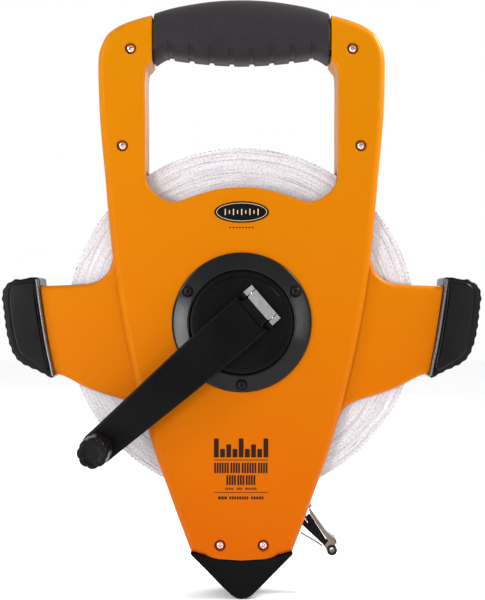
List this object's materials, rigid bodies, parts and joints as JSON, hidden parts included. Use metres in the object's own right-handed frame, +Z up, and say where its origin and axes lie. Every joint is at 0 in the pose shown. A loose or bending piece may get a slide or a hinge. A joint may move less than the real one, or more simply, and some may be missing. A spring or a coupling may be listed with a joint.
{
  "type": "surveyor tape reel",
  "caption": "Open-frame long measuring tape reel with a top hand grip, wing bumpers, a pointed tip boot, a geared fold-over crank and a folding hook on the blade end.",
  "frame": {"origin": "on the spin axis of the reel, at the flat rear face of the frame", "axes": "+Z up towards the hand grip, +Y out of the rear face (the crank side faces -Y), +X to the side where the blade leaves"},
  "size_m": [0.295, 0.0805, 0.3683],
  "materials": {
    "orange_shell": "satin moulded, fine grain",
    "grip_rubber": "matte soft-touch",
    "bumper_rubber": "satin",
    "black_nylon": "satin",
    "black_screw": "black oxide",
    "zinc_steel": "zinc plated",
    "bronze": "sintered, oiled",
    "acetal": "natural",
    "blade": "coated glass-fibre tape",
    "tongue_vinyl": "textured vinyl",
    "badge": "gloss"
  },
  "bodies": {
    "frame": {"frame_front": "orange_shell", "frame_rear": "orange_shell", "badge_plate": "badge", "hand_grip_front": "grip_rubber", "hand_grip_rear": "grip_rubber", "bumper_left": "bumper_rubber", "bumper_right": "bumper_rubber", "tip_boot": "bumper_rubber", "gear_housing": "black_nylon", "axle": "zinc_steel", "axle_screw": "zinc_steel", "crank_washer": "zinc_steel", "frame_screw_1": "zinc_steel", "frame_screw_2": "zinc_steel", "frame_screw_3": "zinc_steel", "frame_screw_4": "zinc_steel", "frame_screw_5": "zinc_steel", "frame_screw_6": "zinc_steel", "housing_screw_1": "black_screw", "housing_screw_2": "black_screw", "housing_screw_3": "black_screw"},
    "reel": {"reel_drum": "black_nylon", "front_flange": "black_nylon", "rear_flange": "black_nylon", "tape_winding": "blade", "sun_gear": "acetal", "rear_bush": "bronze"},
    "crank": {"crank_hub": "black_nylon", "planet_pin_1": "zinc_steel", "planet_pin_2": "zinc_steel", "planet_pin_3": "zinc_steel", "crank_hinge_pin": "zinc_steel"},
    "planet_a": {"planet_gear_a": "acetal"},
    "planet_b": {"planet_gear_b": "acetal"},
    "planet_c": {"planet_gear_c": "acetal"},
    "arm": {"crank_arm": "black_nylon", "knob_spindle": "zinc_steel"},
    "knob": {"crank_knob": "black_nylon"},
    "blade_end": {"tape_lead": "blade", "end_tongue": "tongue_vinyl", "hook_eyelet": "zinc_steel", "claw_prong": "zinc_steel"},
    "hook": {"end_hook": "zinc_steel"}
  },
  "joints": [
    {"name": "reel_spin", "type": "hinge", "parent": "frame", "child": "reel", "pos_m": [0, -0.018, 0], "axis": [0, -1, 0], "continuous": true},
    {"name": "crank_spin", "type": "hinge", "parent": "frame", "child": "crank", "pos_m": [0, -0.038, 0], "axis": [0, -1, 0], "continuous": true},
    {"name": "planet_a_spin", "type": "hinge", "parent": "crank", "child": "planet_a", "pos_m": [0, -0.0315, 0.0225], "axis": [0, -1, 0], "continuous": true},
    {"name": "planet_b_spin", "type": "hinge", "parent": "crank", "child": "planet_b", "pos_m": [-0.01949, -0.0315, -0.01125], "axis": [0, -1, 0], "continuous": true},
    {"name": "planet_c_spin", "type": "hinge", "parent": "crank", "child": "planet_c", "pos_m": [0.01949, -0.0315, -0.01125], "axis": [0, -1, 0], "continuous": true},
    {"name": "crank_fold", "type": "hinge", "parent": "crank", "child": "arm", "pos_m": [0.01132, -0.046, 0.00984], "axis": [-0.6561, 0, 0.7547], "range_deg": [0, 180]},
    {"name": "knob_spin", "type": "hinge", "parent": "arm", "child": "knob", "pos_m": [-0.08604, -0.066, -0.07479], "axis": [0, -1, 0], "continuous": true},
    {"name": "tape_pull", "type": "slide", "parent": "frame", "child": "blade_end", "axis": [0.9664, 0, -0.2571], "range_m": [0, 0.02]},
    {"name": "hook_fold", "type": "hinge", "parent": "blade_end", "child": "hook", "pos_m": [0.056, -0.018, -0.1415], "axis": [0, 1, 0], "range_deg": [0, 165]}
  ],
  "couplings": [
    {"joint": "crank_spin", "follows": "reel_spin", "ratio": 0.33333},
    {"joint": "planet_a_spin", "follows": "reel_spin", "ratio": -1.3333},
    {"joint": "planet_b_spin", "follows": "reel_spin", "ratio": -1.3333},
    {"joint": "planet_c_spin", "follows": "reel_spin", "ratio": -1.3333}
  ]
}
